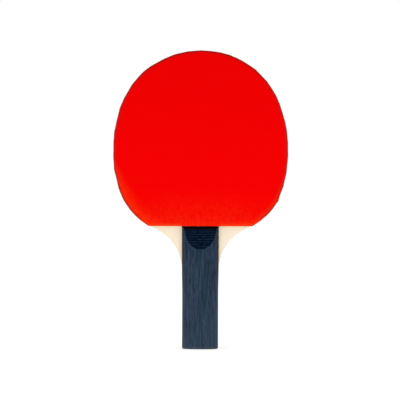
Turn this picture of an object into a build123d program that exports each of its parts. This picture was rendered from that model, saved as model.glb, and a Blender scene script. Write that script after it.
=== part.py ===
"""Table tennis paddle, made of the layers that the real one is glued up from.

The paddle stands on the butt of its handle. The origin is the middle of the butt, +Z runs up the
handle to the top of the head, and the front face looks along -Y. All lengths are in millimetres
and all angles in degrees.

Every layer lies parallel to the XZ plane. The front layers are modelled, and each rear layer is
its front twin mirrored in that plane.
"""

import os
from math import cos, radians

from build123d import *

# Blade outline: three arcs run from the top of the head round to its underside, each tangent to
# the next, and a hollow flare runs from there down into the side of the handle.
BLADE_TOP = 256.4
CROWN_RADIUS = 72.7
CROWN_ARC = 72.4
SIDE_RADIUS = 115.0
SIDE_ARC = 34.2
SHOULDER_RADIUS = 55.0
SHOULDER_ARC = 49.5
FLARE_ARC = CROWN_ARC + SIDE_ARC + SHOULDER_ARC - 90

# Handle outline: straight, and a little wider at the neck than from the waist to the butt.
NECK_HALF_WIDTH = 15.8
NECK_BOTTOM = 67.1
WAIST_HALF_WIDTH = 15.5
WAIST_TOP = 48.0
BUTT_CORNER_RADIUS = 1.8

# Plywood blade: five plies, 6 mm in all.
CORE_PLY = 3.0
CROSS_PLY = 0.9
FACE_PLY = 0.6

# Rubber on each side: a film of glue, the sponge, its bond, and the top sheet with its pimples in.
GLUE_FILM = 0.1
SPONGE = 1.7
TOP_SHEET = 1.7
RUBBER_OVERHANG = 0.4
RUBBER_BOTTOM = 105.65

# Handle scale: a crowned strip of wood with a shallow scoop that drops to a lip at its top end.
SCALE_TOP = 105.4
SCALE_CROWN = 7.4
SCALE_WALL = 1.0
SCOOP_LENGTH = 19.8
SCOOP_RADIUS = 118.0
LIP_LENGTH = 2.4
LIP_RADIUS = 3.4
LIP_TOP = 4.4
LIP_BOTTOM = 1.3
BUTT_EDGE_RADIUS = 1.6
WAIST_SPANS = 5

# How far each layer starts from the blade's middle plane.
CROSS_START = CORE_PLY / 2
FACE_START = CROSS_START + CROSS_PLY
BLADE_SURFACE = FACE_START + FACE_PLY
SPONGE_START = BLADE_SURFACE + GLUE_FILM
SHEET_BOND_START = SPONGE_START + SPONGE
TOP_SHEET_START = SHEET_BOND_START + GLUE_FILM
SCALE_START = BLADE_SURFACE + GLUE_FILM
SCALE_SURFACE = SCALE_START + SCALE_WALL + SCALE_CROWN


def blade_outline():
    """Returns the outline shared by the plies: the head, the two flares and the tongue."""
    with BuildSketch() as outline:
        with BuildLine():
            crown = JernArc((0, BLADE_TOP), (1, 0), CROWN_RADIUS, -CROWN_ARC)
            side = JernArc(crown @ 1, crown % 1, SIDE_RADIUS, -SIDE_ARC)
            shoulder = JernArc(side @ 1, side % 1, SHOULDER_RADIUS, -SHOULDER_ARC)
            inward_run = (shoulder @ 1).X - NECK_HALF_WIDTH
            flare_radius = inward_run / (1 - cos(radians(FLARE_ARC)))
            flare = JernArc(shoulder @ 1, shoulder % 1, flare_radius, FLARE_ARC)
            waist = Spline(flare @ 1, (WAIST_HALF_WIDTH, WAIST_TOP), tangents=((0, -1), (0, -1)))
            grip_side = Line(waist @ 1, (WAIST_HALF_WIDTH, 0))
            Line(grip_side @ 1, (0, 0))
            mirror(about=Plane.YZ)
        make_face()
        fillet(outline.vertices().group_by(Axis.Y)[0], BUTT_CORNER_RADIUS)
    return outline.sketch


def tongue_outline():
    """Returns the part of the blade's outline that the handle scales cover."""
    with BuildSketch() as outline:
        add(blade_outline())
        with Locations((0, SCALE_TOP / 2)):
            Rectangle(2 * NECK_HALF_WIDTH, SCALE_TOP, mode=Mode.INTERSECT)
    return outline.sketch


def rubber_outline():
    """Returns the outline of the rubber: the head, cut off straight just above the handle."""
    with BuildSketch() as outline:
        with BuildLine():
            top = (0, BLADE_TOP + RUBBER_OVERHANG)
            crown = JernArc(top, (1, 0), CROWN_RADIUS + RUBBER_OVERHANG, -CROWN_ARC)
            side = JernArc(crown @ 1, crown % 1, SIDE_RADIUS + RUBBER_OVERHANG, -SIDE_ARC)
            shoulder_arc = 180 - CROWN_ARC - SIDE_ARC
            shoulder = JernArc(side @ 1, side % 1, SHOULDER_RADIUS + RUBBER_OVERHANG, -shoulder_arc)
            Line(shoulder @ 1, (0, (shoulder @ 1).Y))
            mirror(about=Plane.YZ)
        make_face()
        split(bisect_by=Plane.XZ.offset(-RUBBER_BOTTOM), keep=Keep.BOTTOM)
    return outline.sketch


def scale_section(half_width):
    """Returns a cross-section of the front scale: a low wall on each side and a half ellipse."""
    with BuildSketch() as section:
        with BuildLine():
            crown_base = -(SCALE_START + SCALE_WALL)
            crown = EllipticalCenterArc(
                (0, crown_base), half_width, SCALE_CROWN, start_angle=180, arc_size=180
            )
            right_wall = Line(crown @ 1, (half_width, -SCALE_START))
            glued_face = Line(right_wall @ 1, (-half_width, -SCALE_START))
            Line(glued_face @ 1, crown @ 0)
        make_face()
    return section.sketch


# Blade, from the middle outwards.
with BuildPart() as core_ply:
    with BuildSketch(Plane.XZ):
        add(blade_outline())
    extrude(amount=CORE_PLY / 2, both=True)

with BuildPart() as front_cross_ply:
    with BuildSketch(Plane.XZ.offset(CROSS_START)):
        add(blade_outline())
    extrude(amount=CROSS_PLY)

with BuildPart() as front_face_ply:
    with BuildSketch(Plane.XZ.offset(FACE_START)):
        add(blade_outline())
    extrude(amount=FACE_PLY)

# Rubber: the glue film and the bond are as wide as the sponge that they hold.
with BuildPart() as front_rubber_glue:
    with BuildSketch(Plane.XZ.offset(BLADE_SURFACE)):
        add(rubber_outline())
    extrude(amount=GLUE_FILM)

with BuildPart() as front_sponge:
    with BuildSketch(Plane.XZ.offset(SPONGE_START)):
        add(rubber_outline())
    extrude(amount=SPONGE)

with BuildPart() as front_sheet_bond:
    with BuildSketch(Plane.XZ.offset(SHEET_BOND_START)):
        add(rubber_outline())
    extrude(amount=GLUE_FILM)

with BuildPart() as front_top_sheet:
    with BuildSketch(Plane.XZ.offset(TOP_SHEET_START)):
        add(rubber_outline())
    extrude(amount=TOP_SHEET)

# Handle: a glue line on the tongue, then the crowned scale.
with BuildPart() as front_scale_glue:
    with BuildSketch(Plane.XZ.offset(BLADE_SURFACE)):
        add(tongue_outline())
    extrude(amount=GLUE_FILM)

with BuildPart() as front_handle_scale:
    with BuildSketch():
        add(scale_section(WAIST_HALF_WIDTH))
    extrude(amount=WAIST_TOP)
    butt_edges = front_handle_scale.edges().group_by(Axis.Z)[0]
    fillet(butt_edges.sort_by(Axis.Y)[:-1], BUTT_EDGE_RADIUS)
    for step in range(WAIST_SPANS + 1):
        rise = step / WAIST_SPANS
        widening = (NECK_HALF_WIDTH - WAIST_HALF_WIDTH) * rise**2 * (3 - 2 * rise)
        with BuildSketch(Plane.XY.offset(WAIST_TOP + (NECK_BOTTOM - WAIST_TOP) * rise)):
            add(scale_section(WAIST_HALF_WIDTH + widening))
    loft()
    with BuildSketch(Plane.XY.offset(NECK_BOTTOM)):
        add(scale_section(NECK_HALF_WIDTH))
    extrude(amount=SCALE_TOP - NECK_BOTTOM)
    with BuildSketch(Plane.YZ):
        with BuildLine():
            lip_bottom = (-(SCALE_START + LIP_BOTTOM), SCALE_TOP)
            lip_top = (-(SCALE_START + LIP_TOP), SCALE_TOP - LIP_LENGTH)
            scoop_end = (-SCALE_SURFACE, SCALE_TOP - SCOOP_LENGTH)
            lip = RadiusArc(lip_bottom, lip_top, LIP_RADIUS)
            scoop = RadiusArc(lip @ 1, scoop_end, -SCOOP_RADIUS)
            clear_side = -SCALE_SURFACE - 1
            clear_top = SCALE_TOP + 1
            Polyline(
                scoop @ 1,
                (clear_side, scoop_end[1]),
                (clear_side, clear_top),
                (lip_bottom[0], clear_top),
                lip_bottom,
            )
        make_face()
    extrude(amount=NECK_HALF_WIDTH + 1, both=True, mode=Mode.SUBTRACT)

# The rear layers.
with BuildPart() as rear_cross_ply:
    mirror(front_cross_ply.part, about=Plane.XZ)

with BuildPart() as rear_face_ply:
    mirror(front_face_ply.part, about=Plane.XZ)

with BuildPart() as rear_rubber_glue:
    mirror(front_rubber_glue.part, about=Plane.XZ)

with BuildPart() as rear_sponge:
    mirror(front_sponge.part, about=Plane.XZ)

with BuildPart() as rear_sheet_bond:
    mirror(front_sheet_bond.part, about=Plane.XZ)

with BuildPart() as rear_top_sheet:
    mirror(front_top_sheet.part, about=Plane.XZ)

with BuildPart() as rear_scale_glue:
    mirror(front_scale_glue.part, about=Plane.XZ)

with BuildPart() as rear_handle_scale:
    mirror(front_handle_scale.part, about=Plane.XZ)

pieces = {
    "core_ply": core_ply,
    "front_cross_ply": front_cross_ply,
    "front_face_ply": front_face_ply,
    "front_rubber_glue": front_rubber_glue,
    "front_sponge": front_sponge,
    "front_sheet_bond": front_sheet_bond,
    "front_top_sheet": front_top_sheet,
    "front_scale_glue": front_scale_glue,
    "front_handle_scale": front_handle_scale,
    "rear_cross_ply": rear_cross_ply,
    "rear_face_ply": rear_face_ply,
    "rear_rubber_glue": rear_rubber_glue,
    "rear_sponge": rear_sponge,
    "rear_sheet_bond": rear_sheet_bond,
    "rear_top_sheet": rear_top_sheet,
    "rear_scale_glue": rear_scale_glue,
    "rear_handle_scale": rear_handle_scale,
}

os.makedirs("parts", exist_ok=True)
for name, piece in pieces.items():
    piece.part.label = name
    export_step(piece.part, f"parts/{name}.step")
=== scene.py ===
import math
import random

import bpy
import numpy as np
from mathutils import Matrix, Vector, noise


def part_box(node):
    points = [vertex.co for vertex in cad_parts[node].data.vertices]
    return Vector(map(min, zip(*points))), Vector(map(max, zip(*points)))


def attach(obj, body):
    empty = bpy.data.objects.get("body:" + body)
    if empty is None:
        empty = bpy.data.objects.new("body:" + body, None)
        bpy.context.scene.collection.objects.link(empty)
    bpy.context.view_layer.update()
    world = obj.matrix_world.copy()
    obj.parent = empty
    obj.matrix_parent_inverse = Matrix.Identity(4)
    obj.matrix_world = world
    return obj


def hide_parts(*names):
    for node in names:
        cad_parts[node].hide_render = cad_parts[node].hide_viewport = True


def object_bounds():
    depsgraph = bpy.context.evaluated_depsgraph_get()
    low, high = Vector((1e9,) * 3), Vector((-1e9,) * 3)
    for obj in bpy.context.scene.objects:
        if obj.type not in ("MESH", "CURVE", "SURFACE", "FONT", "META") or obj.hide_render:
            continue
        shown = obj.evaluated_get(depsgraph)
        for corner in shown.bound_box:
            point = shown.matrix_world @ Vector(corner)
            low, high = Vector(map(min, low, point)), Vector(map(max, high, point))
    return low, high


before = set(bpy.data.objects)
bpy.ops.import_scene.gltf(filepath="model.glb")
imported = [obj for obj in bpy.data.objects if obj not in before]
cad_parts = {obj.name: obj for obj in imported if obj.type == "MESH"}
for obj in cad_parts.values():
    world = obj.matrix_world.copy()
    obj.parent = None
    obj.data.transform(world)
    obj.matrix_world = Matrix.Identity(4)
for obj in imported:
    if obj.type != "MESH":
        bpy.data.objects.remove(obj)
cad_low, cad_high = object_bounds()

# Table tennis paddle, in metres: every layer gets its own piece round the CAD frame.
# The front face looks along -Y, and the front layers lie at negative y.

MM = 0.001
BODY = "root"

# ---- Shape of the outlines, as in the CAD; heights and layer positions are read from the frame.
CROWN_RADIUS, CROWN_ARC = 72.7 * MM, 72.4
SIDE_RADIUS, SIDE_ARC = 115.0 * MM, 34.2
SHOULDER_RADIUS, SHOULDER_ARC = 55.0 * MM, 49.5
FLARE_ARC = CROWN_ARC + SIDE_ARC + SHOULDER_ARC - 90
WAIST_HALF_WIDTH, WAIST_TOP = 15.5 * MM, 48.0 * MM
CORNER_RADIUS = 1.8 * MM

BLADE_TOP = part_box("core_ply")[1].z
RUBBER_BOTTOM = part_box("front_top_sheet")[0].z
RUBBER_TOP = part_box("front_top_sheet")[1].z
OVERHANG = RUBBER_TOP - BLADE_TOP
SCALE_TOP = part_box("front_handle_scale")[1].z
NECK_HALF_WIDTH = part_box("front_handle_scale")[1].x

# Spacing of the points along an outline, and the height that the knife's angles are taken from.
STEP = 0.45 * MM
HEAD_MIDDLE = 178 * MM


def arc_run(path, radius, turn):
    """Adds an arc to path, a list of (x, z, heading). Headings and turns are clockwise, in degrees."""
    x, z, heading = path[-1]
    count = max(3, math.ceil(radius * math.radians(abs(turn)) / STEP))
    chord = 2 * radius * math.sin(math.radians(abs(turn)) / (2 * count))
    for i in range(count):
        middle = math.radians(heading + turn * (i + 0.5) / count)
        x += chord * math.cos(middle)
        z -= chord * math.sin(middle)
        path.append((x, z, heading + turn * (i + 1) / count))


def straight_run(points, end):
    """Adds evenly spaced points from the last of points to end."""
    start = points[-1]
    count = max(1, round(math.dist(start, end) / STEP))
    for i in range(1, count + 1):
        t = i / count
        points.append((start[0] + (end[0] - start[0]) * t, start[1] + (end[1] - start[1]) * t))


def evenly(points, count):
    """The same path with evenly spaced points."""
    points = np.array(points)
    run = np.insert(np.cumsum(np.linalg.norm(np.diff(points, axis=0), axis=1)), 0, 0.0)
    even = np.linspace(0, run[-1], count)
    return list(zip(np.interp(even, run, points[:, 0]), np.interp(even, run, points[:, 1])))


def closed_loop(right_half):
    """The whole outline as an array, clockwise from the top, made from its right half."""
    left_half = [(-x, z) for x, z in reversed(right_half[1:-1])]
    return np.array(list(right_half) + left_half)


def outward(loop):
    """Unit normals of a clockwise loop, pointing out of it."""
    along = np.roll(loop, -1, axis=0) - np.roll(loop, 1, axis=0)
    normal = np.stack([-along[:, 1], along[:, 0]], axis=1)
    return normal / np.linalg.norm(normal, axis=1, keepdims=True)


def moved_out(loop, offsets):
    """The loop with each of its points moved out by its own offset."""
    return loop + outward(loop) * offsets[:, None]


def half_width(z):
    """Half the handle's width at height z: the tongue and both scales share it."""
    rise = min(max((z - WAIST_TOP) / (NECK_BOTTOM - WAIST_TOP), 0.0), 1.0)
    return WAIST_HALF_WIDTH + (NECK_HALF_WIDTH - WAIST_HALF_WIDTH) * rise * rise * (3 - 2 * rise)


def head_path(grow, shoulder_arc):
    """The three arcs of the head's right half, from the top, with every radius grown."""
    path = [(0.0, BLADE_TOP + grow, 0.0)]
    arc_run(path, CROWN_RADIUS + grow, CROWN_ARC)
    arc_run(path, SIDE_RADIUS + grow, SIDE_ARC)
    arc_run(path, SHOULDER_RADIUS + grow, shoulder_arc)
    return path


flare_path = head_path(0.0, SHOULDER_ARC)
inward_run = flare_path[-1][0] - NECK_HALF_WIDTH
arc_run(flare_path, inward_run / (1 - math.cos(math.radians(FLARE_ARC))), -FLARE_ARC)
NECK_BOTTOM = flare_path[-1][1]


def add_grip(points, z):
    """Adds the handle's side from height z down, its rounded corner and its butt up to the middle."""
    while z > CORNER_RADIUS + STEP:
        z -= STEP * 2
        points.append((half_width(z), z))
    corner = [(points[-1][0], CORNER_RADIUS, 90.0)]
    arc_run(corner, CORNER_RADIUS, 90.0)
    points += [(x, height) for x, height, _ in corner]
    straight_run(points, (0.0, 0.0))


def blade_loop():
    """Outline of the plies: head, flares and tongue."""
    points = [(x, z) for x, z, _ in flare_path]
    add_grip(points, NECK_BOTTOM)
    return closed_loop(points)


# Points on half of a rubber outline: along its curve, and along its straight bottom.
CURVE_POINTS, BOTTOM_POINTS = 480, 116


def rubber_loop(grow=0.0, bottom=RUBBER_BOTTOM):
    """Outline of a rubber layer, cut off straight along the bottom. All such outlines have the same
    number of points, and each point has its twin on the others."""
    path = head_path(OVERHANG + grow, 180 - CROWN_ARC - SIDE_ARC)
    points = [(x, z) for x, z, _ in path if z > bottom + 0.1 * MM]
    below = path[len(points)]
    t = (points[-1][1] - bottom) / (points[-1][1] - below[1])
    points.append((points[-1][0] + (below[0] - points[-1][0]) * t, bottom))
    underside = evenly([points[-1], (0.0, bottom)], BOTTOM_POINTS)
    return closed_loop(evenly(points, CURVE_POINTS) + underside[1:])


def tongue_loop(grow):
    """Outline of the glue under a handle scale, grown sideways where the wood flares beside it."""
    points = [(0.0, SCALE_TOP)]
    straight_run(points, (NECK_HALF_WIDTH, SCALE_TOP))
    add_grip(points, SCALE_TOP)
    loop = closed_loop(points)
    flare = np.clip((loop[:, 1] - NECK_BOTTOM) / (4 * MM), 0, 1)
    return loop + outward(loop) * [1.0, 0.0] * (grow * flare)[:, None]


# ---- Hand trimming: short straight cuts round the head, with a few places left proud.

# Where two knife cuts meet on the front sheet, in degrees anticlockwise from the right of the head.
FRONT_CORNERS = (-180, -171, -162, -151, -143, -136, -127, -118, -108, -72, -61, -53, -46, -37)
FRONT_CORNERS += (-28, -19, -9, 0, 7, 14, 20, 26.5, 31, 36.5, 43, 53.5, 62.5, 68, 73, 78, 84, 90)
FRONT_CORNERS += (98, 105.5, 109, 115, 123.5, 129, 140, 150, 158, 166, 174, 180)

# Stretches cut a little wide, or narrow when negative, as (degrees, half span in degrees, mm).
FRONT_WIDE = ((54.0, 30.0, 0.8), (10.0, 7.0, 0.25), (-20.0, 12.0, 0.45), (-42.0, 9.0, 0.5))
FRONT_WIDE += ((133.0, 16.0, 0.55), (157.0, 10.0, 0.3), (173.0, 8.0, 0.3), (-163.0, 8.0, 0.3))
NARROW = ((-137.0, 12.0, -0.4), (-125.0, 8.0, -0.25), (-54.0, 6.0, -0.15))

# Corners that the knife missed on the rear sheet, and a bit of sponge that it missed in front.
REAR_PROUD = (
    (129.0, 10.0, 1.2),
    (97.0, 9.0, 1.15),
    (84.0, 6.0, 0.75),
    (72.5, 9.5, 1.5),
    (62.3, 9.5, 1.5),
    (43.0, 10.0, 1.55),
    (26.5, 8.0, 1.0),
    (3.0, 9.0, 0.9),
    (175.5, 9.0, 1.0),
)
FRONT_SPONGE_PROUD = ((-37.0, 3.0, 0.75),)


def knife_corners(seed):
    """Corners between cuts of uneven length, in degrees."""
    draw = random.Random(seed)
    corners = [-180.0]
    while corners[-1] < 168.0:
        corners.append(corners[-1] + draw.uniform(5.0, 11.5))
    return corners + [180.0]


def trimming(corners, seed, low, high, proud=()):
    """A function from outline points to how far outside them the knife left the edge. At each corner
    it's between low and high, in mm, plus any proud stretch, and the cuts between are straight."""
    draw = random.Random(seed)
    levels = [draw.uniform(low, high) * MM for _ in corners]
    levels[-1] = levels[0]

    def cut(loop):
        angle = np.degrees(np.arctan2(loop[:, 1] - HEAD_MIDDLE, loop[:, 0]))
        place = np.clip(np.searchsorted(corners, angle) - 1, 0, len(corners) - 2)
        spans = np.diff(corners)[place]
        t = (angle - np.array(corners)[place]) / spans
        flat = np.radians(spans) ** 2 * CROWN_RADIUS / 2 * t * (1 - t)
        offset = np.interp(angle, corners, levels) - flat
        for middle, half_span, width in proud:
            offset = offset + width * MM * np.clip(1 - np.abs(angle - middle) / half_span, 0, 1)
        # The straight bottom edge stays where the CAD has it.
        above = np.clip((loop[:, 1] - RUBBER_BOTTOM - 0.2 * MM) / (1.8 * MM), 0, 1)
        return offset * above

    return cut


FRONT_SEED, FRONT_LOW, FRONT_HIGH = 11, 0.12, 0.42
REAR_SEED, REAR_LOW, REAR_HIGH = 29, -0.1, 0.2
REAR_CORNERS = knife_corners(REAR_SEED)
front_cut = trimming(FRONT_CORNERS, FRONT_SEED, FRONT_LOW, FRONT_HIGH, FRONT_WIDE + NARROW)
front_sponge_cut = trimming(
    FRONT_CORNERS, FRONT_SEED, FRONT_LOW, FRONT_HIGH, FRONT_WIDE + NARROW + FRONT_SPONGE_PROUD
)
rear_cut = trimming(REAR_CORNERS, REAR_SEED, REAR_LOW, REAR_HIGH, NARROW)
rear_sheet_cut = trimming(REAR_CORNERS, REAR_SEED, REAR_LOW, REAR_HIGH, NARROW + REAR_PROUD)


# ---- Meshes.


def add_piece(name, mesh, node):
    """An object that shows the mesh in place of a CAD node."""
    piece = bpy.data.objects.new(name, mesh)
    bpy.context.scene.collection.objects.link(piece)
    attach(piece, BODY)
    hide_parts(node)
    return piece


def ring_mesh(name, rings, materials, groups=None, caps=(0, 0)):
    """A closed mesh through rings of points, each ring clockwise as seen from the first one's side.
    groups[row, column] gives a side face's material; caps gives those of the two ends."""
    rings = np.array(rings)
    rows, count, _ = rings.shape
    index = np.arange(rows * count).reshape(rows, count)
    after = np.roll(index, -1, axis=1)
    quads = np.stack([index[:-1], after[:-1], after[1:], index[1:]], axis=2).reshape(-1, 4)
    faces = quads.tolist()
    faces.append(index[0][::-1].tolist())
    faces.append(index[-1].tolist())
    mesh = bpy.data.meshes.new(name)
    mesh.from_pydata(rings.reshape(-1, 3).tolist(), [], faces)
    for material in materials:
        mesh.materials.append(material)
    smooth = np.ones(len(faces), bool)
    smooth[-2:] = False
    mesh.polygons.foreach_set("use_smooth", smooth)
    chosen = np.zeros(len(faces), np.int32)
    if groups is not None:
        chosen[: len(quads)] = groups.reshape(-1)
    chosen[-2:] = caps
    mesh.polygons.foreach_set("material_index", chosen)
    mesh.update()
    return mesh


def level(loop, normal, offset, y):
    """The loop, moved out by offset, as a ring of points at depth y."""
    moved = loop + normal * np.broadcast_to(offset, len(loop))[:, None]
    return np.stack([moved[:, 0], np.broadcast_to(y, len(loop)), moved[:, 1]], axis=1)


def wave(points, size, seed, stretch=(1, 1, 1)):
    """Smooth noise from -1 to 1 at each point; size is how far apart its bumps are."""
    shift = Vector((seed * 3.17, seed * 1.31, seed * 2.43))
    scale = np.array(stretch) / size
    return np.array([noise.noise(Vector(p * scale) + shift) for p in points])


ROUND_STEPS = 4


def round_step(radius, i):
    """At step i round a rounded edge: how far it's still short of the side, and how far it has gone
    down from the face."""
    a = math.pi / 2 * i / ROUND_STEPS
    return radius * (1 - math.sin(a)), radius * (1 - math.cos(a))


def rounded_profile(y_near, y_far, near_radius, far_radius, rows):
    """(offset, y) pairs from the near face's edge to the far face's edge, with both rounded."""
    profile = []
    for i in range(ROUND_STEPS):
        short, down = round_step(near_radius, i)
        profile.append((-short, y_near + down))
    for i in range(rows + 1):
        t = i / rows
        profile.append((0.0, y_near + near_radius + (y_far - far_radius - y_near - near_radius) * t))
    for i in reversed(range(ROUND_STEPS)):
        short, down = round_step(far_radius, i)
        profile.append((-short, y_far - down))
    return profile


def side_of(node):
    """-1 for a front layer and 1 for a rear one."""
    return -1 if node.startswith("front") else 1


def layer_span(node):
    """How far the layer's two faces are from the blade's middle plane, the nearer one first."""
    low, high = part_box(node)
    return tuple(sorted((abs(low.y), abs(high.y))))


def facing(rings, side):
    """Rings built from the outer face inwards at positive depths, set on the front or the rear."""
    rings = [np.array(ring) for ring in rings]
    for ring in rings:
        ring[:, 1] *= side
    return rings if side < 0 else rings[::-1]


def ply(name, node, materials, seed):
    """A ply, with its outer edge sanded round where the flares are bare."""
    loop = blade_loop()
    normal = outward(loop)
    # Flare is 1 along the bare wood between the neck and the rubber, and 0 elsewhere.
    flare = np.clip((loop[:, 1] - NECK_BOTTOM) / (6 * MM), 0, 1)
    flare *= np.abs(loop[:, 0]) > NECK_HALF_WIDTH + 0.1 * MM
    flare *= np.clip((RUBBER_BOTTOM + 6 * MM - loop[:, 1]) / (4 * MM), 0, 1)
    fuzz = 0.025 * MM * wave(np.insert(loop, 1, 0.0, axis=1), 1.7 * MM, seed)
    fuzz *= np.clip(loop[:, 1] / (2 * MM), 0, 1)
    if node == "core_ply":
        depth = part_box(node)[1].y
        rings = [level(loop, normal, fuzz * 0.5, y) for y in np.linspace(-depth, depth, 5)]
        return add_piece(name, ring_mesh(name, rings, materials), node)
    inner, outer = layer_span(node)
    sanded = flare * (0.45 * MM if "face" in node else 0.06 * MM)
    rings = []
    for i in range(ROUND_STEPS + 1):
        short, down = round_step(sanded, i)
        rings.append(level(loop, normal, fuzz - short, outer - down))
    rings.append(level(loop, normal, fuzz, inner))
    mesh = ring_mesh(name, facing(rings, side_of(node)), materials)
    return add_piece(name, mesh, node)


def film(name, node, materials, loop, ragged, seed):
    """A thin film of glue with an uneven edge, ragged mm in and out, that bulges a little."""
    normal = outward(loop)
    edge = ragged * MM * wave(np.insert(loop, 1, 0.0, axis=1), 2.6 * MM, seed)
    bead = np.clip(loop[:, 1] / (2 * MM), 0, 1)
    edge *= bead
    inner, outer = layer_span(node)
    rings = [level(loop, normal, edge, y) for y in (outer, (inner + outer) / 2, inner)]
    rings[1] = level(loop, normal, edge + 0.02 * MM * bead, (inner + outer) / 2)
    mesh = ring_mesh(name, facing(rings, side_of(node)), materials)
    return add_piece(name, mesh, node)


SPONGE_ROWS = 9


def sponge(name, node, materials, cut, seed):
    """A foam sheet: its cut edge leans a little, and open cells pit it."""
    loop = rubber_loop()
    normal = outward(loop)
    offset = cut(loop) - 0.2 * MM
    inner, outer = layer_span(node)
    rings = []
    for i in range(SPONGE_ROWS + 1):
        t = i / SPONGE_ROWS
        y = outer + (inner - outer) * t
        spots = np.stack([loop[:, 0], np.full(len(loop), y), loop[:, 1]], axis=1)
        cells = np.clip(wave(spots, 0.55 * MM, seed), -1, 0.15)
        belly = -0.1 * MM * math.sin(math.pi * t)
        rings.append(level(loop, normal, offset + belly + 0.16 * MM * cells + 0.12 * MM * t, y))
    mesh = ring_mesh(name, facing(rings, side_of(node)), materials)
    piece = add_piece(name, mesh, node)
    return piece


# Pimples: their lattice, their size, and the width of the band beside the edge that has them.
PIP_PITCH = 2.2 * MM
PIP_HEIGHT = 0.8 * MM
PIP_ROOT, PIP_TIP = 0.85 * MM, 0.62 * MM
PIP_SIDES = 12
PIP_BAND = 7.5 * MM
PIP_SLAB_INSET = PIP_BAND - 1.2 * MM

# Rings on the flat of a top sheet, in mm inwards from its cut edge.
FLAT_INSETS = (15.0, 11.0, 7.0, 5.0, 3.4, 2.2, 1.4, 0.9)


def signed_gap(points, loop, normal):
    """How far each point is outside the loop, negative inside, and the loop's normal beside it."""
    gaps, ways = np.empty(len(points)), np.empty((len(points), 2))
    batch = 400
    for start in range(0, len(points), batch):
        part = points[start : start + batch]
        away = part[:, None, :] - loop[None, :, :]
        nearest = np.argmin((away**2).sum(axis=2), axis=1)
        rows = np.arange(len(part))
        ways[start : start + batch] = normal[nearest]
        gaps[start : start + batch] = (away[rows, nearest] * normal[nearest]).sum(axis=1)
    return gaps, ways


def pip_places(loop, normal):
    """Centres of the pimples that stand within the band beside the cut edge."""
    column_step = PIP_PITCH * math.sqrt(3) / 2
    columns = math.ceil((cad_high.x + PIP_PITCH) / column_step)
    places = []
    for i in range(-columns, columns + 1):
        for j in range(math.ceil(RUBBER_TOP / PIP_PITCH) + 2):
            z = (j + 0.5 * (i % 2)) * PIP_PITCH
            if RUBBER_BOTTOM - PIP_PITCH < z < RUBBER_TOP + PIP_PITCH:
                places.append((i * column_step, z))
    places = np.array(places)
    gap, _ = signed_gap(places, loop, normal)
    return places[(gap < -0.1 * MM) & (gap > -PIP_BAND)]


def stacks(parts):
    """Points and faces of closed stacks of rings; each of parts is one stack, as for ring_mesh."""
    points, faces = [], []
    for rings in parts:
        base, count = len(points), len(rings[0])
        for ring in rings:
            points.extend(ring.tolist())
        for row in range(len(rings) - 1):
            start = base + row * count
            for k in range(count):
                a, b = start + k, start + (k + 1) % count
                faces.append((a, b, b + count, a + count))
        last = base + (len(rings) - 1) * count
        faces.append(tuple(base + k for k in reversed(range(count))))
        faces.append(tuple(last + k for k in range(count)))
    return points, faces


def sheet_skin(name, node, materials, plain, trimmed, seed):
    """The skin of a top sheet. Its "rim" attribute says how many mm inwards from the edge a point is,
    and 0 on the side wall."""
    side = side_of(node)
    inner, outer = layer_span(node)
    thickness = outer - (inner + PIP_HEIGHT)
    loop = moved_out(plain, trimmed)
    normal = outward(loop)
    above = np.clip((plain[:, 1] - RUBBER_BOTTOM) / (2 * MM), 0.25, 1)
    nicks = wave(np.insert(loop, 1, 0.0, axis=1), 1.1 * MM, seed) * 0.045 * MM * above
    rings, rim = [], []
    for inset in FLAT_INSETS:
        flat_loop = rubber_loop(-inset * MM, RUBBER_BOTTOM + inset * MM)
        follow = trimmed * (1 - inset / FLAT_INSETS[0])
        rings.append(level(flat_loop, outward(flat_loop), follow, outer))
        rim.append(inset)
    for offset, y in rounded_profile(0.0, thickness, 0.4 * MM, 0.05 * MM, 3):
        lean = 0.08 * MM * y / thickness
        rings.append(level(loop, normal, offset + nicks - lean, outer - y))
        rim.append(-offset / MM if y < 0.5 * MM else 0.0)
    skin = ring_mesh(name, facing(rings, side), materials)
    depths = np.repeat(rim if side < 0 else rim[::-1], len(loop)).astype(np.float32)
    skin.attributes.new("rim", "FLOAT", "POINT").data.foreach_set("value", depths)
    return skin


def sheet_pips(name, node, materials, loop):
    """The pimples beside a sheet's cut edge, and one slab in place of all those further in."""
    inner = layer_span(node)[0]
    root = inner + PIP_HEIGHT
    inside = rubber_loop(-PIP_SLAB_INSET, RUBBER_BOTTOM + PIP_SLAB_INSET)
    parts = [[level(inside, outward(inside), 0.0, y) for y in (root + 0.01 * MM, inner)]]
    turn = np.linspace(0, 2 * math.pi, PIP_SIDES, endpoint=False)[::-1]
    circle = np.stack([np.cos(turn), np.sin(turn)], axis=1)
    profile = ((PIP_ROOT, root + 0.02 * MM), (PIP_TIP * 1.06, root - 0.15 * MM), (PIP_TIP, inner))
    normal = outward(loop)
    for centre in pip_places(loop, normal):
        rings = []
        for radius, y in profile:
            ring = centre + circle * radius
            # The knife cuts through a pimple that stands across the edge.
            for _ in range(2):
                gap, way = signed_gap(ring, loop, normal)
                ring = ring - way * np.clip(gap + 0.05 * MM, 0, None)[:, None]
            rings.append(np.stack([ring[:, 0], np.full(len(ring), y), ring[:, 1]], axis=1))
        parts.append(rings)
    points, faces = stacks([facing(rings, side_of(node)) for rings in parts])
    mesh = bpy.data.meshes.new(name)
    mesh.from_pydata(points, [], faces)
    for material in materials:
        mesh.materials.append(material)
    return mesh


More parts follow.
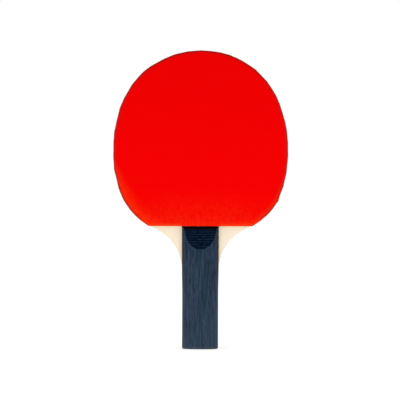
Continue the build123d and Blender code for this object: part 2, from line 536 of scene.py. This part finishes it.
def top_sheet(name, node, materials, cut, seed):
    """A rubber sheet: a skin with a trimmed edge, and pimples on its inner side by the edge."""
    plain = rubber_loop()
    trimmed = cut(plain)
    skin = sheet_skin(name, node, materials, plain, trimmed, seed)
    pips = sheet_pips(name + "_pips", node, materials, moved_out(plain, trimmed))
    joined = bpy.data.objects.new("joining", pips)
    piece = add_piece(name, skin, node)
    bpy.context.scene.collection.objects.link(joined)
    with bpy.context.temp_override(active_object=piece, selected_editable_objects=[piece, joined]):
        bpy.ops.object.join()
    return piece


# ---- Handle scales, shaped as in the CAD.
SCALE_WALL = 1.0 * MM
SCALE_CROWN = 7.4 * MM
SCOOP_LENGTH = 19.8 * MM
SCOOP_RADIUS = 118.0 * MM
LIP_LENGTH = 2.4 * MM
LIP_RADIUS = 3.4 * MM
LIP_TOP = 4.4 * MM
LIP_BOTTOM = 1.3 * MM
BUTT_RADIUS = 1.6 * MM
CUTTER_PITCH = 2.1 * MM
SCALE_RISE = SCALE_WALL + SCALE_CROWN
SCOOP_END = SCALE_TOP - SCOOP_LENGTH
LIP_START = SCALE_TOP - LIP_LENGTH


def circle_through(start, end, radius):
    """Centre of the circle of that radius through two points, on the left of start to end, or on
    the right for a negative radius."""
    start, end = np.array(start), np.array(end)
    chord = end - start
    half = np.linalg.norm(chord) / 2
    left = np.array([-chord[1], chord[0]]) / (2 * half)
    return (start + end) / 2 + left * math.copysign(math.sqrt(radius**2 - half**2), radius)


LIP_CENTRE = circle_through((SCALE_TOP, LIP_BOTTOM), (LIP_START, LIP_TOP), LIP_RADIUS)
SCOOP_CENTRE = circle_through((LIP_START, LIP_TOP), (SCOOP_END, SCALE_RISE), -SCOOP_RADIUS)


def scoop_height(z):
    """Height of the scoop's surface above the glued face at z, or None below the scoop."""
    if z >= LIP_START:
        run = min(abs(z - LIP_CENTRE[0]), LIP_RADIUS)
        return LIP_CENTRE[1] + math.sqrt(LIP_RADIUS**2 - run**2)
    if z > SCOOP_END:
        return SCOOP_CENTRE[1] - math.sqrt(SCOOP_RADIUS**2 - (z - SCOOP_CENTRE[0]) ** 2)
    return None


# Points on half a cross-section: up the low wall, round the crown to the scoop's edge, and on to the
# middle. EDGE_POINT is the one on the scoop's edge.
WALL_POINTS = 5
SIDE_POINTS = 34
MIDDLE_POINTS = 30
EDGE_POINT = WALL_POINTS + SIDE_POINTS - 1
BUTT_ROWS = 6


def scale_rows():
    """Heights of the cross-sections: close together round the butt's edge and along the scoop."""
    rows = [BUTT_RADIUS * (1 - math.cos(math.pi / 2 * i / BUTT_ROWS)) for i in range(BUTT_ROWS)]
    rows += list(np.arange(BUTT_RADIUS, SCOOP_END - 1.2 * MM, 0.9 * MM))
    rows += list(np.arange(SCOOP_END - 0.9 * MM, SCOOP_END, 0.3 * MM))
    rows += list(np.linspace(SCOOP_END + 0.02 * MM, LIP_START, 84))
    rows += list(SCALE_TOP - LIP_LENGTH * np.cos(np.linspace(0, math.pi / 2, 13))[1:])
    return rows


def scale_section(z):
    """Half of a cross-section, from the wall's foot to the middle, as (x, height) points."""
    inset = 0.0
    if z < BUTT_RADIUS:
        inset = BUTT_RADIUS - math.sqrt(BUTT_RADIUS**2 - (BUTT_RADIUS - z) ** 2)
    width, crown = half_width(z) - inset, SCALE_CROWN - inset

    def on_crown(angle):
        return width * math.cos(angle), SCALE_WALL + crown * math.sin(angle)

    # The edge point lies at the angle split: on the scoop's edge, and ever lower on the crown below
    # the scoop, so that the points spread out evenly there.
    ceiling = scoop_height(z)
    if ceiling is None:
        below = np.clip((SCOOP_END - z) / (16 * MM), 0, 1)
        split = math.pi / 2 - 0.008 - 0.75 * below
    else:
        split = math.asin(np.clip((ceiling - SCALE_WALL) / crown, 0.0, 0.99995))
    points = [(width, SCALE_WALL * i / WALL_POINTS) for i in range(WALL_POINTS)]
    for i in range(SIDE_POINTS):
        points.append(on_crown(split * (1 - (1 - i / (SIDE_POINTS - 1)) ** 1.5)))
    edge_x, edge_height = points[EDGE_POINT]
    for i in range(1, MIDDLE_POINTS + 1):
        t = (i / MIDDLE_POINTS) ** 1.5
        if ceiling is None:
            points.append(on_crown(split + (math.pi / 2 - split) * t))
        else:
            points.append((edge_x * (1 - t), edge_height))
    return points


def surface_relief(spots, in_scoop, seed):
    """How far the open grain, or the cutter in the scoop, lifts each point of one cross-section. It
    fades out at the glued foot and at the butt's end."""
    z = spots[0, 2]
    grain = wave(spots, 1.0 * MM, seed, (0.9, 0.9, 0.05))
    fine = wave(spots, 1.0 * MM, seed + 5, (2.6, 2.6, 0.16))
    marks = math.cos(2 * math.pi * z / CUTTER_PITCH)
    sanded = 0.035 * MM * grain + 0.02 * MM * fine
    relief = np.where(in_scoop, 0.045 * MM * marks + 0.012 * MM * fine, sanded)
    relief *= np.clip((spots[:, 1] - 0.1 * MM) / (0.5 * MM), 0, 1)
    return relief * np.clip(z / (0.6 * MM), 0, 1)


def handle_scale(name, node, materials, seed):
    """A crowned strip of wood. Its materials are the surface's, the scoop's and the butt's."""
    side = side_of(node)
    foot = layer_span(node)[0]
    rings, groups = [], []
    for z in scale_rows():
        half = scale_section(z)
        right = half[:-1]
        whole = [(-x, h) for x, h in right] + [half[-1]] + list(reversed(right))
        ring = np.array([(x, foot + h, z) for x, h in whole])
        in_scoop = (z > SCOOP_END) & (np.abs(ring[:, 0]) < half[EDGE_POINT][0] - 1e-7)
        relief = surface_relief(ring - [0.0, foot, 0.0], in_scoop, seed)
        away = ring - [0.0, foot, z]
        away /= np.maximum(np.linalg.norm(away, axis=1, keepdims=True), 1e-9)
        rings.append(ring + away * relief[:, None])
        group = np.zeros(len(ring), np.int32)
        if z >= SCOOP_END:
            group[EDGE_POINT : len(ring) - 1 - EDGE_POINT] = 1
        groups.append(group)
    rings = np.array(rings)
    rings[:, :, 1] *= side
    if side > 0:
        rings = rings[:, ::-1]
        groups = [np.roll(group[::-1], -1) for group in groups]
    mesh = ring_mesh(name, rings, materials, np.array(groups[:-1]), caps=(2, 1))
    return add_piece(name, mesh, node)


# ---- Materials.


class Paint:
    """A material's node tree. Every coordinate is the row frame's, in metres."""

    def __init__(self, name, **sockets):
        self.material = bpy.data.materials.new(name)
        self.material.use_nodes = True
        self.tree = self.material.node_tree
        self.shader = self.tree.nodes["Principled BSDF"]
        for socket, value in sockets.items():
            self.shader.inputs[socket.replace("_", " ")].default_value = value
        self.place = self.node("ShaderNodeTexCoord").outputs["Object"]

    def node(self, kind, **settings):
        made = self.tree.nodes.new(kind)
        for key, value in settings.items():
            setattr(made, key, value)
        return made

    def feed(self, socket, value):
        if isinstance(value, bpy.types.NodeSocket):
            self.tree.links.new(value, socket)
        else:
            socket.default_value = value

    def stretched(self, scale, offset=(0, 0, 0)):
        mapping = self.node("ShaderNodeMapping")
        self.feed(mapping.inputs["Vector"], self.place)
        mapping.inputs["Scale"].default_value = scale
        mapping.inputs["Location"].default_value = offset
        return mapping.outputs["Vector"]

    def noise(self, scale, detail=2.0, roughness=0.5, distortion=0.0, offset=(0, 0, 0)):
        """Noise from 0 to 1, with about scale bumps to the metre along each axis."""
        made = self.node("ShaderNodeTexNoise")
        self.feed(made.inputs["Vector"], self.stretched(scale, offset))
        made.inputs["Scale"].default_value = 1.0
        made.inputs["Detail"].default_value = detail
        made.inputs["Roughness"].default_value = roughness
        made.inputs["Distortion"].default_value = distortion
        return made.outputs["Fac"]

    def stored(self, name):
        """The mesh's own attribute of that name."""
        return self.node("ShaderNodeAttribute", attribute_name=name).outputs["Fac"]

    def axis(self, letter):
        parts = self.node("ShaderNodeSeparateXYZ")
        self.feed(parts.inputs[0], self.place)
        return parts.outputs[letter]

    def math(self, operation, a, b=0.0, c=0.0):
        made = self.node("ShaderNodeMath", operation=operation)
        for i, value in enumerate((a, b, c)):
            self.feed(made.inputs[i], value)
        return made.outputs[0]

    def times(self, a, b):
        return self.math("MULTIPLY", a, b)

    def remap(self, value, low, high, to_low=0.0, to_high=1.0):
        """The value carried from low..high to to_low..to_high, and held at the ends."""
        made = self.node("ShaderNodeMapRange")
        for i, entry in enumerate((value, low, high, to_low, to_high)):
            self.feed(made.inputs[i], entry)
        return made.outputs[0]

    def mix(self, factor, a, b):
        """Colour a where factor is 0, and b where it's 1."""
        made = self.node("ShaderNodeMix", data_type="RGBA")
        self.feed(made.inputs[0], factor)
        for socket, value in ((made.inputs[6], a), (made.inputs[7], b)):
            self.feed(socket, value if isinstance(value, bpy.types.NodeSocket) else (*value, 1.0))
        return made.outputs[2]

    def colour(self, value):
        self.feed(self.shader.inputs["Base Color"], value)

    def roughness(self, value):
        self.feed(self.shader.inputs["Roughness"], value)

    def bump(self, *layers):
        """Layers of (height, strength, distance) on top of each other."""
        under = None
        for height, strength, distance in layers:
            made = self.node("ShaderNodeBump")
            made.inputs["Strength"].default_value = strength
            made.inputs["Distance"].default_value = distance
            self.feed(made.inputs["Height"], height)
            if under is not None:
                self.feed(made.inputs["Normal"], under)
            under = made.outputs[0]
        self.feed(self.shader.inputs["Normal"], under)


def pip_pattern(paint):
    """Rises over each pimple of the sheet, on the same lattice as the pimples themselves."""
    k = 4 * math.pi / (math.sqrt(3) * PIP_PITCH)
    x, z = paint.axis("X"), paint.axis("Z")
    ripples = []
    for degrees in (0, 60, 120):
        a = math.radians(degrees)
        along = paint.math("ADD", paint.times(x, k * math.cos(a)), paint.times(z, k * math.sin(a)))
        ripples.append(paint.math("COSINE", along))
    return paint.math("ADD", paint.math("ADD", ripples[0], ripples[1]), ripples[2])


def finish_rubber(paint, pip_strength, low, high):
    """Roughness between low and high, and a faint show of the pimples through the skin."""
    paint.roughness(paint.remap(paint.noise((900.0, 900.0, 900.0), detail=3.0), 0.3, 0.7, low, high))
    pebble = paint.noise((2600.0, 2600.0, 2600.0), detail=2.0)
    paint.bump((pip_pattern(paint), pip_strength, 0.02 * MM), (pebble, 0.3, 0.02 * MM))


def red_rubber():
    """Glossy red, warmer and mottled towards the handle, with painted shade darkening the top and the
    knife-cut rim, and painted reflections along the lower rim and edge.
    """
    paint = Paint(
        "red_rubber", IOR=1.5, Specular_IOR_Level=0.35, Specular_Tint=(1.0, 0.006, 0.004, 1.0)
    )
    x, z, rim = paint.axis("X"), paint.axis("Z"), paint.stored("rim")
    aside = paint.math("ABSOLUTE", x)
    streaks = paint.noise((620.0, 620.0, 110.0), detail=2.0, roughness=0.6)
    grains = paint.noise((330.0, 330.0, 420.0), detail=2.0, roughness=0.6)
    mottle = paint.noise((60.0, 60.0, 60.0), detail=4.0)

    # Deep red, painted a little darker towards the top: painted shade, as the light falls stronger from
    # lower down.
    height = paint.remap(z, RUBBER_BOTTOM, RUBBER_TOP)
    tone = paint.mix(height, (0.822, 0.0002, 0.0003), (0.712, 0.0001, 0.0002))
    tone = paint.mix(paint.remap(mottle, 0.35, 0.75, 0.0, 0.2), tone, (0.785, 0.0002, 0.0003))

    # Warmer and speckled low down, and warmest just over the straight lower edge.
    speckle = paint.remap(paint.math("ADD", streaks, grains), 0.75, 1.20, 0.2, 1.5)
    low = paint.math("POWER", paint.remap(z, 144 * MM, RUBBER_BOTTOM), 1.7)
    low = paint.times(low, paint.remap(aside, 28 * MM, 48 * MM, 1.0, 0.5))
    tone = paint.mix(paint.times(low, speckle), tone, (0.815, 0.0088, 0.0018))
    brim = paint.math("POWER", paint.remap(z, RUBBER_BOTTOM + 7 * MM, RUBBER_BOTTOM), 1.5)
    tone = paint.mix(paint.times(brim, 0.5), tone, (0.84, 0.0190, 0.0030))

    # Painted reflection inside the lower rim: a lighter, warmer band that reaches further in on the
    # left. Reaches are in mm, as rim is.
    left = paint.remap(x, 10 * MM, -10 * MM)
    left_reach = paint.times(left, paint.remap(z, 165 * MM, 135 * MM, 2.5, 14.5))
    right = paint.math("SUBTRACT", 1.0, left)
    right_reach = paint.times(right, paint.remap(z, 165 * MM, 115 * MM, 1.5, 7.0))
    reach = paint.math("ADD", left_reach, right_reach)
    painted_rim_reflection = paint.math("POWER", paint.remap(rim, reach, 0.0), 2.0)
    painted_rim_reflection = paint.times(painted_rim_reflection, paint.remap(z, 172 * MM, 152 * MM))
    painted_rim_reflection = paint.times(painted_rim_reflection, paint.remap(aside, 30 * MM, 46 * MM))
    painted_rim_reflection = paint.times(painted_rim_reflection, paint.remap(grains, 0.35, 0.6, 0.6, 1.0))
    tone = paint.mix(painted_rim_reflection, tone, (0.88, 0.033, 0.0024))
    # Painted reflection: a lighter, warmer line just over the lower edge, on the flares beside the
    # handle.
    flank = paint.remap(aside, NECK_HALF_WIDTH, NECK_HALF_WIDTH + 1 * MM)
    lowest = paint.remap(z, RUBBER_BOTTOM + 3 * MM, RUBBER_BOTTOM + 0.6 * MM)
    painted_edge_reflection = paint.math("POWER", lowest, 1.4)
    tone = paint.mix(paint.times(flank, painted_edge_reflection), tone, (0.88, 0.042, 0.0055))

    # Painted shade at the knife-cut edge: a dark rim that fades inwards, darkest at the top, and the
    # side wall painted as dark.
    cut = paint.math("POWER", paint.remap(rim, 3.2, 0.0), 1.4)
    cut = paint.times(cut, paint.remap(z, RUBBER_BOTTOM + 1 * MM, RUBBER_BOTTOM + 9 * MM))
    edge = paint.mix(paint.remap(z, 205 * MM, 250 * MM), (0.33, 0.013, 0.009), (0.16, 0.008, 0.006))
    tone = paint.mix(cut, tone, edge)
    above = paint.math("SUBTRACT", z, RUBBER_BOTTOM + 0.3 * MM)
    wall = paint.times(paint.remap(rim, 0.15, 0.0), paint.remap(above, 0.0, 1.2 * MM))
    paint.colour(paint.mix(wall, tone, edge))
    finish_rubber(paint, 0.35, 0.36, 0.5)
    return paint.material


def black_rubber():
    """Glossy black with a little dust, and a scuffed grey rim."""
    paint = Paint("black_rubber", IOR=1.5, Specular_IOR_Level=0.22)
    mottle = paint.noise((70.0, 70.0, 70.0), detail=5.0)
    dust = paint.noise((420.0, 420.0, 420.0), detail=4.0, roughness=0.7)
    black, worn_black = (0.0040, 0.0040, 0.0046), (0.0075, 0.0073, 0.0075)
    tone = paint.mix(paint.remap(mottle, 0.35, 0.7), black, worn_black)
    tone = paint.mix(paint.remap(dust, 0.62, 0.8, 0.0, 0.25), tone, (0.035, 0.034, 0.033))
    scuff = paint.times(paint.remap(paint.stored("rim"), 1.2, 0.2), paint.remap(dust, 0.45, 0.7))
    paint.colour(paint.mix(paint.times(scuff, 0.6), tone, (0.030, 0.029, 0.028)))
    finish_rubber(paint, 0.4, 0.34, 0.5)
    return paint.material


def foam():
    """Yellow sponge with open cells, their hollows darkened by painted shade."""
    paint = Paint(
        "sponge_foam", Specular_IOR_Level=0.15, Subsurface_Weight=0.15, Subsurface_Scale=0.8 * MM
    )
    cells = paint.node("ShaderNodeTexVoronoi")
    paint.feed(cells.inputs["Vector"], paint.stretched((2200.0, 2200.0, 2200.0)))
    cells.inputs["Scale"].default_value = 1.0
    cell = paint.remap(cells.outputs["Distance"], 0.15, 0.6)
    tone = paint.noise((90.0, 90.0, 90.0), detail=3.0)
    wall = paint.mix(tone, (0.78, 0.58, 0.16), (0.84, 0.68, 0.26))
    # Painted shade: the hollows of the open cells are painted darker than the walls.
    paint.colour(paint.mix(cell, (0.45, 0.30, 0.07), wall))
    paint.roughness(paint.remap(tone, 0.2, 0.8, 0.8, 0.95))
    paint.bump((cell, 0.8, 0.12 * MM))
    return paint.material


def wood(name, light, dark, along, fine=1.0, stain=None):
    """Pale wood with its grain along one axis. A face ply is stained where it meets the handle."""
    paint = Paint(name, Specular_IOR_Level=0.12)

    def scale(across, length):
        return tuple(length if letter == along else across for letter in "XYZ")

    broad = paint.noise(scale(150.0, 4.0), detail=3.0, distortion=0.3)
    narrow = paint.noise(scale(1100.0 * fine, 16.0), detail=4.0, roughness=0.65)
    pores = paint.noise(scale(3200.0, 120.0), detail=2.0)
    grain = paint.math("ADD", paint.times(broad, 0.45), paint.times(narrow, 0.55))
    tone = paint.mix(paint.remap(grain, 0.36, 0.66), light, dark)
    speck = paint.remap(pores, 0.62, 0.75, 0.0, 0.25)
    tone = paint.mix(speck, tone, tuple(v * 0.85 for v in dark))
    if stain is not None:
        tone = face_ply_marks(paint, tone, narrow, stain)
    paint.colour(tone)
    paint.roughness(paint.remap(grain, 0.3, 0.7, 0.55, 0.72))
    paint.bump((narrow, 0.25, 0.05 * MM), (pores, 0.2, 0.04 * MM))
    return paint.material


def face_ply_marks(paint, tone, grain, stain):
    """Dye that crept out beside the handle, painted light on the wood along the rubber's lower edge,
    and painted shade in the slit between the rubber and the handle."""
    beside = paint.math("SUBTRACT", paint.math("ABSOLUTE", paint.axis("X")), NECK_HALF_WIDTH)
    ragged = paint.math("MULTIPLY_ADD", grain, 0.8 * MM, beside)
    tone = paint.mix(paint.remap(ragged, 0.3 * MM, 1.2 * MM, 0.55, 0.0), tone, stain)
    z = paint.axis("Z")
    # Painted light: the wood just below the rubber's lower edge is painted lighter, to cancel the shade
    # under the rubber's edge.
    rising = paint.remap(z, RUBBER_BOTTOM - 5 * MM, RUBBER_BOTTOM)
    under_rubber = paint.times(rising, paint.remap(z, RUBBER_BOTTOM + 2 * MM, RUBBER_BOTTOM + 1 * MM))
    tone = paint.mix(paint.times(under_rubber, 0.9), tone, (0.985, 0.915, 0.73))
    # Painted shade: the slit between the rubber and the top of the handle is painted near black.
    above_scale = paint.remap(under_rubber, 0.85, 0.93, 0.0, 0.97)
    slit = paint.times(paint.remap(beside, 0.1 * MM, -0.1 * MM), above_scale)
    return paint.mix(slit, tone, (0.012, 0.003, 0.003))


def glue_paint():
    """Dry, slightly shiny contact adhesive."""
    paint = Paint("dry_glue", IOR=1.46, Specular_IOR_Level=0.4)
    tone = paint.noise((300.0, 300.0, 300.0), detail=3.0)
    paint.colour(paint.mix(tone, (0.62, 0.50, 0.30), (0.72, 0.62, 0.44)))
    paint.roughness(paint.remap(tone, 0.3, 0.7, 0.3, 0.5))
    paint.bump((tone, 0.3, 0.05 * MM))
    return paint.material


def stained_wood(name, shift):
    """Navy dye over open-grained wood: paler streaks along the grain, worn, greyer edges, painted light
    low down and a painted shadow line beside the flares.
    """
    paint = Paint(name, Specular_IOR_Level=0.08, Specular_Tint=(0.5, 0.7, 1.0, 1.0))
    offset = (shift, shift * 0.7, shift * 1.3)
    z, aside = paint.axis("Z"), paint.math("ABSOLUTE", paint.axis("X"))
    broad = paint.noise((420.0, 420.0, 16.0), detail=2.0, distortion=0.2, offset=offset)
    narrow = paint.noise((1250.0, 1250.0, 48.0), detail=2.0, roughness=0.6, offset=offset)
    pores = paint.noise((1500.0, 1500.0, 190.0), detail=1.0, offset=offset)
    scars = paint.noise((800.0, 800.0, 125.0), detail=1.0, offset=offset)
    hue = paint.noise((280.0, 280.0, 26.0), detail=2.0, offset=offset)
    cloud = paint.noise((45.0, 45.0, 30.0), detail=2.0, offset=offset)
    grain = paint.math("ADD", paint.times(broad, 0.2), paint.times(narrow, 0.8))

    # Dark and light streaks, each from a greenish navy to a purplish one.
    bluer = paint.remap(hue, 0.40, 0.60)
    dark = paint.mix(bluer, (0.0075, 0.0230, 0.0390), (0.0105, 0.0190, 0.0450))
    light = paint.mix(bluer, (0.0255, 0.0505, 0.0790), (0.0315, 0.0465, 0.0850))
    tone = paint.mix(paint.remap(grain, 0.425, 0.575), dark, light)
    tone = paint.mix(paint.remap(pores, 0.56, 0.66, 0.0, 0.7), tone, (0.0080, 0.0180, 0.0350))
    tone = paint.mix(paint.remap(scars, 0.66, 0.71, 0.0, 0.85), tone, (0.0045, 0.0100, 0.0200))

    # Paler low down: painted light, as the handle brightens towards the bottom where more light falls.
    # Paler where the hand rubs it: along both sides and round the butt.
    painted_light_low = paint.times(paint.remap(z, 0.0, 100 * MM, 0.5, 0.0), cloud)
    tone = paint.mix(painted_light_low, tone, (0.047, 0.066, 0.098))
    patchy = paint.remap(narrow, 0.35, 0.58, 0.45, 1.0)
    worn = paint.times(paint.remap(aside, 12.8 * MM, 15.0 * MM, 0.0, 0.75), patchy)
    tone = paint.mix(worn, tone, (0.056, 0.063, 0.070))
    butt = paint.times(paint.remap(z, 3.2 * MM, 0.4 * MM, 0.0, 0.8), patchy)
    tone = paint.mix(butt, tone, (0.062, 0.072, 0.090))

    # Painted shade: a dark line along the sides where the flares stand beside them, at the foot of the
    # handle's wall.
    near_flare = paint.remap(z, 50 * MM, 80 * MM, 0.0, 0.85)
    painted_shadow_line = paint.times(paint.remap(aside, 13.4 * MM, 14.8 * MM), near_flare)
    paint.colour(paint.mix(painted_shadow_line, tone, (0.0190, 0.0175, 0.0165)))
    paint.roughness(paint.remap(grain, 0.3, 0.7, 0.5, 0.66))
    paint.bump((narrow, 0.35, 0.08 * MM), (pores, 0.3, 0.06 * MM))
    return paint.material


def scooped_wood(name, shift):
    """The scoop: dye soaked into cut grain, with the cutter's lines across it, and painted shade with a
    red reflection at its top by the rubber.
    """
    paint = Paint(name, Specular_IOR_Level=0.03, Specular_Tint=(0.3, 0.6, 1.0, 1.0))
    offset = (shift, shift * 0.7, shift * 1.3)
    z = paint.axis("Z")
    broken = paint.noise((520.0, 60.0, 480.0), detail=2.0, roughness=0.6, offset=offset)
    wander = paint.noise((60.0, 20.0, 60.0), detail=2.0, offset=offset)
    blotch = paint.noise((130.0, 40.0, 130.0), detail=2.0, offset=offset)
    drift = paint.remap(wander, 0.2, 0.8, -0.9, 0.9)
    phase = paint.math("MULTIPLY_ADD", z, 2 * math.pi / CUTTER_PITCH, drift)
    line = paint.remap(paint.math("COSINE", phase), -0.1, 0.9)
    line = paint.times(line, paint.remap(broken, 0.38, 0.62, 0.0, 1.7))
    tone = paint.mix(line, (0.0003, 0.0030, 0.0105), (0.0088, 0.0185, 0.0360))
    tone = paint.mix(paint.remap(blotch, 0.45, 0.65, 0.0, 0.3), tone, (0.0016, 0.0068, 0.0190))
    # Painted shade and painted reflection: the top of the scoop next to the rubber is painted near
    # black with a red cast.
    lip_shade_and_reflection = paint.remap(z, LIP_START - 0.6 * MM, LIP_START + 0.4 * MM)
    paint.colour(paint.mix(lip_shade_and_reflection, tone, (0.0032, 0.0004, 0.0014)))
    paint.roughness(paint.remap(broken, 0.3, 0.7, 0.5, 0.68))
    paint.bump((line, 0.3, 0.08 * MM))
    return paint.material


def end_grain(name, shift):
    """The butt: dyed end grain, dotted and ringed."""
    paint = Paint(name, Specular_IOR_Level=0.05)
    offset = (shift, shift * 0.7, 0.0)
    dots = paint.noise((1900.0, 1900.0, 200.0), detail=3.0, roughness=0.7, offset=offset)
    rings = paint.noise((40.0, 420.0, 40.0), detail=2.0, distortion=0.5, offset=offset)
    tone = paint.mix(paint.remap(dots, 0.35, 0.65), (0.006, 0.014, 0.030), (0.016, 0.030, 0.055))
    paint.colour(paint.mix(paint.remap(rings, 0.4, 0.65, 0.0, 0.5), tone, (0.028, 0.040, 0.062)))
    paint.roughness(paint.remap(dots, 0.3, 0.7, 0.6, 0.8))
    paint.bump((dots, 0.5, 0.1 * MM))
    return paint.material


RED, BLACK, FOAM, GLUE = red_rubber(), black_rubber(), foam(), glue_paint()
FACE_WOOD = wood("face_wood", (0.925, 0.815, 0.64), (0.895, 0.775, 0.60), "Z", stain=(0.80, 0.64, 0.52))
CORE_WOOD = wood("core_wood", (0.84, 0.69, 0.48), (0.74, 0.56, 0.35), "Z", fine=0.8)
CROSS_WOOD = wood("cross_wood", (0.66, 0.47, 0.28), (0.50, 0.33, 0.18), "X", fine=1.4)

# ---- The pieces.
ply("core_ply_wood", "core_ply", [CORE_WOOD], 3)
for face, seed in (("front", 5), ("rear", 8)):
    ply(f"{face}_cross_ply_wood", f"{face}_cross_ply", [CROSS_WOOD], seed)
    ply(f"{face}_face_ply_wood", f"{face}_face_ply", [FACE_WOOD], seed + 1)

for face, cut, foam_cut, sheet_cut, sheet_paint, slot, seed in (
    ("front", front_cut, front_sponge_cut, front_cut, RED, "red_rubber", 21),
    ("rear", rear_cut, rear_cut, rear_sheet_cut, BLACK, "black_rubber", 34),
):
    glue_loop = rubber_loop(-0.25 * MM)
    glue_loop = moved_out(glue_loop, cut(glue_loop))
    film(f"{face}_rubber_glue_film", f"{face}_rubber_glue", [GLUE], glue_loop, 0.16, seed)
    sponge(f"{face}_sponge_foam", f"{face}_sponge", [FOAM], foam_cut, seed + 1)
    film(f"{face}_sheet_bond_film", f"{face}_sheet_bond", [GLUE], glue_loop, 0.12, seed + 2)
    top_sheet(f"{face}_top_sheet_rubber", f"{face}_top_sheet", [sheet_paint], sheet_cut, seed + 3)
    grip_loop = tongue_loop(0.08 * MM)
    film(f"{face}_scale_glue_film", f"{face}_scale_glue", [GLUE], grip_loop, 0.03, seed + 4)
    shift = float(seed)
    scale_paints = [
        stained_wood(f"{face}_stained_wood", shift),
        scooped_wood(f"{face}_scooped_wood", shift),
        end_grain(f"{face}_end_grain", shift),
    ]
    handle_scale(f"{face}_handle_scale_wood", f"{face}_handle_scale", scale_paints, seed + 5)

# ---- Studio: a pale floor, lit a little from below, an even white surround and broad soft lights.
FLOOR_REACH = 12.0
corners = [(-FLOOR_REACH, -FLOOR_REACH, 0), (FLOOR_REACH, -FLOOR_REACH, 0)]
corners += [(FLOOR_REACH, FLOOR_REACH, 0), (-FLOOR_REACH, FLOOR_REACH, 0)]
floor_mesh = bpy.data.meshes.new("floor")
floor_mesh.from_pydata(corners, [], [(0, 1, 2, 3)])
floor = bpy.data.objects.new("floor", floor_mesh)
bpy.context.scene.collection.objects.link(floor)
floor_paint = Paint(
    "pale_floor",
    Roughness=0.9,
    Specular_IOR_Level=0.0,
    Emission_Color=(1.0, 1.0, 1.0, 1.0),
    Emission_Strength=0.42,
)
floor_tone = floor_paint.noise((3.0, 3.0, 3.0), detail=2.0)
floor_paint.colour(floor_paint.mix(floor_tone, (0.57, 0.57, 0.57), (0.59, 0.59, 0.59)))
floor_mesh.materials.append(floor_paint.material)

world = bpy.data.worlds.new("studio")
bpy.context.scene.world = world
world.use_nodes = True
world.node_tree.nodes["Background"].inputs["Color"].default_value = (1.0, 1.0, 1.0, 1.0)
world.node_tree.nodes["Background"].inputs["Strength"].default_value = 1.0


def soft_sun(name, energy, spread, toward):
    """A sun that looks spread degrees wide and shines toward a direction."""
    light = bpy.data.lights.new(name, "SUN")
    light.energy = energy
    light.angle = math.radians(spread)
    lamp = bpy.data.objects.new(name, light)
    lamp.rotation_mode = "QUATERNION"
    lamp.rotation_quaternion = Vector(toward).to_track_quat("-Z", "Y")
    bpy.context.scene.collection.objects.link(lamp)


soft_sun("overhead_light", 0.55, 60, (0.1, 0.25, -1.0))
soft_sun("front_light", 0.38, 50, (0.35, 1.0, 0.05))

# ---- Camera: level, in front of the red face, with a long lens and a slight roll.
CAMERA_DISTANCE = 2.0
CAMERA_ASIDE = -0.42 * MM
CAMERA_HEIGHT = 128.23 * MM
CAMERA_ROLL = -0.18
camera_data = bpy.data.cameras.new("camera")
camera_data.sensor_width = 36.0
camera_data.lens = 209.2
camera = bpy.data.objects.new("camera", camera_data)
front_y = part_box("front_top_sheet")[0].y
camera.location = (CAMERA_ASIDE, front_y - CAMERA_DISTANCE, CAMERA_HEIGHT)
camera.rotation_euler = (math.radians(90), math.radians(CAMERA_ROLL), 0)
bpy.context.scene.collection.objects.link(camera)
bpy.context.scene.camera = camera
bpy.context.scene.view_settings.view_transform = "Standard"
bpy.context.scene.view_settings.look = "None"
